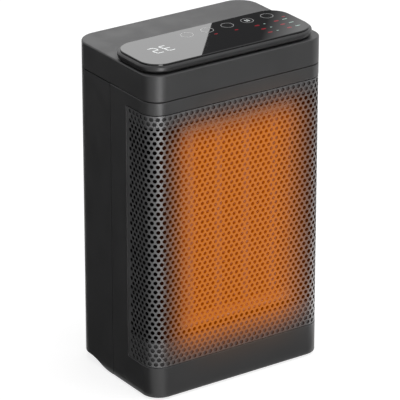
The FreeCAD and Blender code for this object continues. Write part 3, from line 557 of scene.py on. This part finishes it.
def makeGrille():
    low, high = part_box("grille")
    pitch, rows = grille["pitch"], grille["rows"]
    corner = casing["frontCorner"] - (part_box("front_shell")[1].x - high.x)
    bend = corner * math.pi / 2
    flatHalf = high.x - corner
    sideLength = high.y - (low.y + corner)
    half = flatHalf + bend + sideLength
    middle = (low.z + high.z) / 2
    tall = (high.z - low.z) / 2
    bm = bmesh.new()
    holeCell(bm)
    spare = bm.verts[:] + bm.edges[:] + bm.faces[:]
    for row in range(rows):
        shift = 0 if row % 2 else 0.5
        z = (row - (rows - 1) / 2) * grille["rowPitch"]
        reach = int((half - grille["margin"]) / pitch - shift + 1e-6)
        for step in range(-reach - (1 if shift else 0), reach + 1):
            made = bmesh.ops.duplicate(bm, geom=spare)["geom"]
            verts = [g for g in made if isinstance(g, bmesh.types.BMVert)]
            bmesh.ops.translate(bm, vec=((step + shift) * pitch, z, 0), verts=verts)
    bmesh.ops.delete(bm, geom=[g for g in spare if isinstance(g, bmesh.types.BMVert)], context="VERTS")
    bmesh.ops.remove_doubles(bm, verts=bm.verts, dist=0.01 * mm)

    # blank border round the holes, out to the sheet's straight edges
    topRow = (rows - 1) / 2 * grille["rowPitch"]
    shoulder = grille["rowPitch"] - (pitch ** 2 / 4 + grille["rowPitch"] ** 2) / (2 * grille["rowPitch"])
    sideStart = (int((half - grille["margin"]) / pitch - 0.5) + 0.5) * pitch + pitch / 2
    border = [e for e in bm.edges if e.is_boundary and not e.seam]
    outer = bmesh.ops.extrude_edge_only(bm, edges=border)["geom"]
    for vertex in outer:
        if isinstance(vertex, bmesh.types.BMVert):
            onTop = abs(vertex.co.y) > topRow + shoulder - 0.01 * mm
            onSide = abs(vertex.co.x) > sideStart - 0.01 * mm
            if onTop:
                vertex.co.y = math.copysign(tall, vertex.co.y)
            if onSide:
                vertex.co.x = math.copysign(half, vertex.co.x)

    # stand it up, give it its thickness, then bend both ends back
    for vertex in bm.verts:
        vertex.co = Vector((vertex.co.x, 0, vertex.co.y + middle))
    bmesh.ops.recalc_face_normals(bm, faces=bm.faces)
    bm.normal_update()
    if bm.faces[:][0].normal.y > 0:
        bmesh.ops.reverse_faces(bm, faces=bm.faces)
    bmesh.ops.solidify(bm, geom=bm.faces[:], thickness=grille["sheet"])
    depthOf = {v: abs(v.co.y) for v in bm.verts}
    for vertex in bm.verts:
        side = math.copysign(1, vertex.co.x)
        along = abs(vertex.co.x) - flatHalf
        depth = depthOf[vertex]
        radius = corner - depth
        if along <= 0:
            vertex.co.y = low.y + depth
        elif along < bend:
            angle = along / corner
            vertex.co.x = side * (flatHalf + radius * math.sin(angle))
            vertex.co.y = low.y + corner - radius * math.cos(angle)
        else:
            vertex.co.x = side * (high.x - depth)
            vertex.co.y = low.y + corner + along - bend
    print("grille faces:", len(bm.faces))
    return finishPiece(bm, "grilleSheet", "grille_metal", stands=["grille"])


makeGrille()
print("grille made")


# touch pad

pad = {
    "corner": 18 * mm, "lowRound": 2.4 * mm, "topRound": 1.6 * mm, "rim": 2.2 * mm,
    "seat": 1.2 * mm, "ledge": 2 * mm, "floor": 1.6 * mm, "segments": 24,
    "glassCorner": 15.8 * mm, "glassEdge": 0.5 * mm,
}


def makePad():
    low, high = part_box("pad_housing")
    bm = blockOf(low, high)
    rounded(bm, uprights(bm), pad["corner"], pad["segments"])
    rounded(bm, rimOf(bm, facing(bm, 2, 1)), pad["topRound"], 6)
    rounded(bm, rimOf(bm, facing(bm, 2, -1)), pad["lowRound"], 6)
    lid = max(facing(bm, 2, 1), key=lambda f: f.calc_area())
    well = high.z - low.z - pad["seat"] - pad["floor"]
    for inward, down in ((pad["rim"] - pad["topRound"], pad["seat"]), (pad["ledge"], well)):
        bmesh.ops.inset_region(bm, faces=[lid], thickness=inward, use_even_offset=True)
        rim = bmesh.ops.extrude_face_region(bm, geom=[lid])["geom"]
        moved = [g for g in rim if isinstance(g, bmesh.types.BMVert)]
        newLid = [g for g in rim if isinstance(g, bmesh.types.BMFace)][0]
        bmesh.ops.delete(bm, geom=[lid], context="FACES_ONLY")
        bmesh.ops.translate(bm, vec=(0, 0, -down), verts=moved)
        lid = newLid
    bmesh.ops.recalc_face_normals(bm, faces=bm.faces)
    return finishPiece(bm, "padHousing", "pad_plastic", stands=["pad_housing"])


def makeGlass():
    low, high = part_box("glass_panel")
    bm = blockOf(low, high)
    rounded(bm, uprights(bm), pad["glassCorner"], pad["segments"])
    rounded(bm, rimOf(bm, facing(bm, 2, 1)), pad["glassEdge"], 3)
    return finishPiece(bm, "glassPanel", "pad_glass", stands=["glass_panel"])


makePad()
makeGlass()
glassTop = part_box("glass_panel")[1].z


# printed signs and lit marks on the glass

signs = {
    "thick": 0.04 * mm, "line": 0.5 * mm, "radius": 4.7 * mm,
    "rings": (-17 * mm, 17.9 * mm, 5), "ringY": -8.4 * mm,      # first centre, pitch, count
    "digitX": (-54.1 * mm, -44.2 * mm), "digitY": -22.7 * mm, "digitHalf": 2.7 * mm, "digitTall": 5.3 * mm,
    "bar": 0.95 * mm, "lean": -0.22,
    "rows": (-21.4 * mm, -29.8 * mm, -38.1 * mm), "lampX": 43.3 * mm, "barLampX": 61.6 * mm,
    "redX": (36.6 * mm, 53.9 * mm),
    "redAlone": ((19 * mm, -20.1 * mm), (1.7 * mm, -18.7 * mm), (63.8 * mm, -16.7 * mm)),
    "swingSize": (4.2 * mm, 0.95 * mm), "swingApart": 0.95 * mm, "swingTurn": 100,
    "lampSize": (2 * mm, 1.1 * mm), "barLampSize": (4.4 * mm, 1.2 * mm),
    "redSize": (4.4 * mm, 2.2 * mm), "redAloneSize": (3.2 * mm, 1.7 * mm),
}


def litMaterial(name, colour, strength):
    material = bpy.data.materials.new(name)
    material.use_nodes = True
    tree = material.node_tree
    shader = tree.nodes["Principled BSDF"]
    place = addNode(tree, "ShaderNodeTexCoord").outputs["Object"]
    shader.inputs["Base Color"].default_value = (*colour, 1)
    shader.inputs["Roughness"].default_value = 0.05
    shader.inputs["Emission Color"].default_value = (*colour, 1)
    uneven = addNoise(tree, place, 2.5 * mm)
    level = addRange(tree, uneven, 0.3, 0.7, strength * 0.85, strength * 1.1)
    tree.links.new(level, shader.inputs["Emission Strength"])
    return material


inkWhite = litMaterial("ink_white", (0.3, 0.3, 0.3), 0.2)
litWhite = litMaterial("lit_white", (0.5, 0.52, 0.52), 0.65)
litRed = litMaterial("lit_red", (0.2, 0.006, 0.014), 0.4)
litGreen = litMaterial("lit_green", (0.3, 0.42, 0.38), 0.26)


def addBar(bm, x, y, length, width, angle=0.0):
    made = bmesh.ops.create_cube(bm, size=1)["verts"]
    bmesh.ops.scale(bm, vec=(length, width, signs["thick"]), verts=made)
    ends = []
    for edge in {e for v in made for e in v.link_edges}:
        one, two = (v.co for v in edge.verts)
        if abs(one.z - two.z) > 0.5 * (one - two).length:
            ends.append(edge)
    pointed = bmesh.ops.bevel(bm, geom=ends, offset=width * 0.42, offset_type="OFFSET", affect="EDGES",
                              segments=1, profile=0.5, material=-1)["faces"]
    place = Matrix.Translation((x, y, glassTop + signs["thick"] / 2)) @ Matrix.Rotation(angle, 4, "Z")
    bmesh.ops.transform(bm, matrix=place, verts=list({v for f in pointed for v in f.verts}))


def addRing(bm, x, y, radius, line):
    seed = bmesh.ops.create_grid(bm, x_segments=1, y_segments=1, size=0.5)["verts"]
    bmesh.ops.scale(bm, vec=(line, signs["thick"], 1), verts=seed)
    bmesh.ops.rotate(bm, cent=(0, 0, 0), matrix=Matrix.Rotation(math.pi / 2, 3, "X"), verts=seed)
    bmesh.ops.translate(bm, vec=(x + radius, y, glassTop + signs["thick"] / 2), verts=seed)
    edges = list({e for v in seed for e in v.link_edges})
    faces = list({f for v in seed for f in v.link_faces})
    bmesh.ops.spin(bm, geom=faces + edges + seed, cent=(x, y, 0), axis=(0, 0, 1), angle=math.tau,
                   steps=48, use_merge=True, use_duplicate=False)


def finishSigns(bm, name, material):
    bmesh.ops.remove_doubles(bm, verts=bm.verts, dist=1e-7)
    # a spun ring keeps the face that it was spun from, inside it
    inner = [f for f in bm.faces if not any(len(e.link_faces) == 2 for e in f.edges)]
    bmesh.ops.delete(bm, geom=inner, context="FACES")
    bmesh.ops.recalc_face_normals(bm, faces=bm.faces)
    return finishPiece(bm, name, material)


def makeSigns():
    first, pitch, count = signs["rings"]
    bm = bmesh.new()
    for i in range(count):
        addRing(bm, first + pitch * i, signs["ringY"], signs["radius"], signs["line"])
    finishSigns(bm, "touchRings", inkWhite)
    bm = bmesh.new()
    for side in (-1, 1):
        addBar(bm, first + pitch * 3 + side * signs["swingApart"], signs["ringY"], *signs["swingSize"],
               math.radians(signs["swingTurn"]))
    finishSigns(bm, "swingSign", litWhite)

    # two seven-bar digits, upright for someone who stands behind
    bars = {
        "top": (0, 1), "middle": (0, 0), "low": (0, -1),
        "topRight": (1, 0.5), "lowRight": (1, -0.5), "lowLeft": (-1, -0.5),
    }
    digits = {
        "2": ("top", "middle", "low", "topRight", "lowLeft"),
        "3": ("top", "middle", "low", "topRight", "lowRight"),
    }
    bm = bmesh.new()
    for digit, x in zip("23", signs["digitX"]):
        for name in digits[digit]:
            across, up = bars[name]
            flat = across == 0
            length = (signs["digitHalf"] * 2 if flat else signs["digitTall"]) - 0.35 * mm
            addBar(bm, x - across * signs["digitHalf"], signs["digitY"] - up * signs["digitTall"],
                   length, signs["bar"], 0 if flat else math.pi / 2)
    for vertex in bm.verts:
        vertex.co.x += signs["lean"] * (vertex.co.y - signs["digitY"])
    finishSigns(bm, "displayDigits", litWhite)

    bm = bmesh.new()
    for y in signs["rows"]:
        addBar(bm, signs["lampX"], y, *signs["lampSize"])
        addBar(bm, signs["barLampX"], y, *signs["barLampSize"])
    finishSigns(bm, "lampMarks", litGreen)
    bm = bmesh.new()
    for y in signs["rows"]:
        for x in signs["redX"]:
            addBar(bm, x, y, *signs["redSize"])
    for x, y in signs["redAlone"]:
        addBar(bm, x, y, *signs["redAloneSize"])
    finishSigns(bm, "redMarks", litRed)


makeSigns()
print("touch pad made")


# camera, floor and light

bpy.context.scene.view_settings.view_transform = "Standard"
view = {
    "azimuth": 34.39, "elevation": 23.34, "distance": 2.433, "target": (0, 0, 0.129),
    "lens": 291.0, "right": 0.25 * mm, "up": -2.06 * mm,
}


def aim(thing, target):
    thing.rotation_euler = (Vector(target) - thing.location).to_track_quat("-Z", "Y").to_euler()


turn, rise = math.radians(view["azimuth"]), math.radians(view["elevation"])
back = Vector((-math.sin(turn) * math.cos(rise), -math.cos(turn) * math.cos(rise), math.sin(rise)))
right = Vector((math.cos(turn), -math.sin(turn), 0))
upward = back.cross(right)
target = Vector(view["target"]) + right * view["right"] + upward * view["up"]
camera = bpy.data.objects.new("camera", bpy.data.cameras.new("camera"))
bpy.context.scene.collection.objects.link(camera)
camera.data.lens = view["lens"]
camera.location = target + back * view["distance"]
aim(camera, target)
bpy.context.scene.camera = camera

def anyRay(tree, *kinds):
    rays = addNode(tree, "ShaderNodeLightPath")
    found = rays.outputs[kinds[0]]
    for kind in kinds[1:]:
        either = addNode(tree, "ShaderNodeMath", operation="MAXIMUM")
        tree.links.new(found, either.inputs[0])
        tree.links.new(rays.outputs[kind], either.inputs[1])
        found = either.outputs[0]
    return found


# white where it is looked at, and dimmer where it lights the part
world = bpy.data.worlds.new("studio")
bpy.context.scene.world = world
world.use_nodes = True
tree = world.node_tree
looked = anyRay(tree, "Is Camera Ray", "Is Glossy Ray", "Is Transmission Ray")
tree.nodes["Background"].inputs["Color"].default_value = (1, 1, 1, 1)
tree.links.new(addRange(tree, looked, 0, 1, 0.25, 1), tree.nodes["Background"].inputs["Strength"])


def stagePlane(name, width, height, place, facingPoint, material, **seenBy):
    bm = bmesh.new()
    bmesh.ops.create_grid(bm, x_segments=1, y_segments=1, size=0.5)
    bmesh.ops.scale(bm, vec=(width, height, 1), verts=bm.verts)
    plane = linkMesh(bm, name)
    plane.data.materials.append(material)
    plane.location = place
    if facingPoint is not None:
        plane.rotation_euler = (Vector(facingPoint) - Vector(place)).to_track_quat("Z", "Y").to_euler()
    for key, value in seenBy.items():
        setattr(plane, key, value)
    return plane


def stageMaterial(name, colour, lit=0.0):
    material = bpy.data.materials.new(name)
    material.use_nodes = True
    shader = material.node_tree.nodes["Principled BSDF"]
    shader.inputs["Base Color"].default_value = (*colour, 1)
    shader.inputs["Roughness"].default_value = 1
    shader.inputs["Specular IOR Level"].default_value = 0
    shader.inputs["Emission Color"].default_value = (1, 1, 1, 1)
    shader.inputs["Emission Strength"].default_value = lit
    return material


floorMaterial = stageMaterial("floor", (0.4, 0.4, 0.4))
floorTree = floorMaterial.node_tree
floorLooked = anyRay(floorTree, "Is Camera Ray", "Is Glossy Ray")
floorTree.links.new(addRange(floorTree, floorLooked, 0, 1, 0, 0.8),
                    floorTree.nodes["Principled BSDF"].inputs["Emission Strength"])
stagePlane("floor", 12, 12, (0, 0, -0.0005), None, floorMaterial)


def addLamp(name, power, size, place, aimAt):
    light = bpy.data.lights.new(name, "AREA")
    light.shape = "RECTANGLE"
    light.size, light.size_y = size
    light.energy = power
    lamp = bpy.data.objects.new(name, light)
    bpy.context.scene.collection.objects.link(lamp)
    lamp.location = place
    aim(lamp, aimAt)
    lamp.visible_glossy = False
    lamp.visible_camera = False


addLamp("overhead", 27, (1.6, 1.6), (0.3, -0.3, 2.0), (0, 0, 0.1))
addLamp("frontRight", 5, (0.8, 0.8), (1.2, -1.6, 0.5), (0, 0, 0.13))

# cards that only show as reflections: before the front corner, then beside the left, front and right walls
cards = {
    "cornerLight": 8, "cornerSize": (0.18, 0.9), "cornerDistance": 0.55, "cornerHeight": 0.12,
    "cornerTurn": 12, "cornerAim": (0, 0, 0.35),
    "leftSize": (1.6, 1.6), "leftPlace": (-0.879, 0.75, 0.002),
    "frontSize": (1.6, 1.6), "frontPlace": (0.735, -0.854, 0.002), "frontLight": 0.35,
    "rightSize": (0.6, 0.12), "rightPlace": (0.4, -0.165, 0.003), "rightTurn": -20, "rightLight": 3,
    "glareDistance": 1.4, "glareTall": 0.26, "glareLight": 2.25, "glareWide": 0.22, "darkWide": 0.16,
    "glareLine": ((0.0121, 0.002), (-0.0309, -0.0481)),
    "fadeFrom": 0.06, "fadeTo": 0.1, "fadeLight": 1.08, "darkLight": 0.11,
}
unseen = dict(visible_camera=False, visible_diffuse=False, visible_shadow=False, visible_transmission=False)
towards = turn - math.radians(cards["cornerTurn"])
ahead = Vector((-math.sin(towards), -math.cos(towards), 0))
place = ahead * cards["cornerDistance"] + Vector((0, 0, cards["cornerHeight"]))
stagePlane("cornerCard", *cards["cornerSize"], place, cards["cornerAim"],
           stageMaterial("corner_card", (0, 0, 0), cards["cornerLight"]), **unseen)
stagePlane("leftCard", *cards["leftSize"], cards["leftPlace"], None,
           stageMaterial("left_card", (0, 0, 0)), **unseen)
stagePlane("frontCard", *cards["frontSize"], cards["frontPlace"], None,
           stageMaterial("front_card", (0, 0, 0), cards["frontLight"]), **unseen)
rightCard = stagePlane("rightCard", *cards["rightSize"], cards["rightPlace"], None,
                       stageMaterial("right_card", (0, 0, 0), cards["rightLight"]), **unseen)
rightCard.rotation_euler.z = math.radians(cards["rightTurn"])

# the panel's glass mirrors two cards, whose shared edge lies across it
ends = []
for x, y in cards["glareLine"]:
    point = Vector((x, y, glassTop))
    along = (point - camera.location).normalized()
    ends.append(point + Vector((along.x, along.y, -along.z)) * cards["glareDistance"])
toGlass = (Vector((0, -0.02, glassTop)) - (ends[0] + ends[1]) / 2).normalized()
upEdge = (ends[1] - ends[0]).normalized()
upEdge = (upEdge - toGlass * upEdge.dot(toGlass)).normalized()
across = upEdge.cross(toGlass)
if across.dot(right) < 0:
    upEdge.negate()
    across = upEdge.cross(toGlass)
turned = Matrix((across, upEdge, toGlass)).transposed().to_4x4()
middle = (ends[0] + ends[1]) / 2


def glareCard(name, low, high, material):
    plane = stagePlane(name, high - low, cards["glareTall"], (0, 0, 0), None, material, **unseen)
    for vertex in plane.data.vertices:
        vertex.co.x += (low + high) / 2
    plane.matrix_world = Matrix.Translation(middle) @ turned


fadeMaterial = stageMaterial("fade_card", (0, 0, 0))
fadeTree = fadeMaterial.node_tree
fadePlace = addNode(fadeTree, "ShaderNodeTexCoord").outputs["Object"]
fadeParts = addNode(fadeTree, "ShaderNodeSeparateXYZ")
fadeTree.links.new(fadePlace, fadeParts.inputs[0])
fadeLevel = addRange(fadeTree, fadeParts.outputs["X"], cards["fadeFrom"], cards["fadeTo"],
                     cards["darkLight"], cards["fadeLight"])
fadeTree.links.new(fadeLevel, fadeTree.nodes["Principled BSDF"].inputs["Emission Strength"])
glareCard("glareCard", -cards["glareWide"], 0, stageMaterial("glare_card", (0, 0, 0), cards["glareLight"]))
glareCard("fadeCard", 0, cards["darkWide"], fadeMaterial)
print("camera and light set")
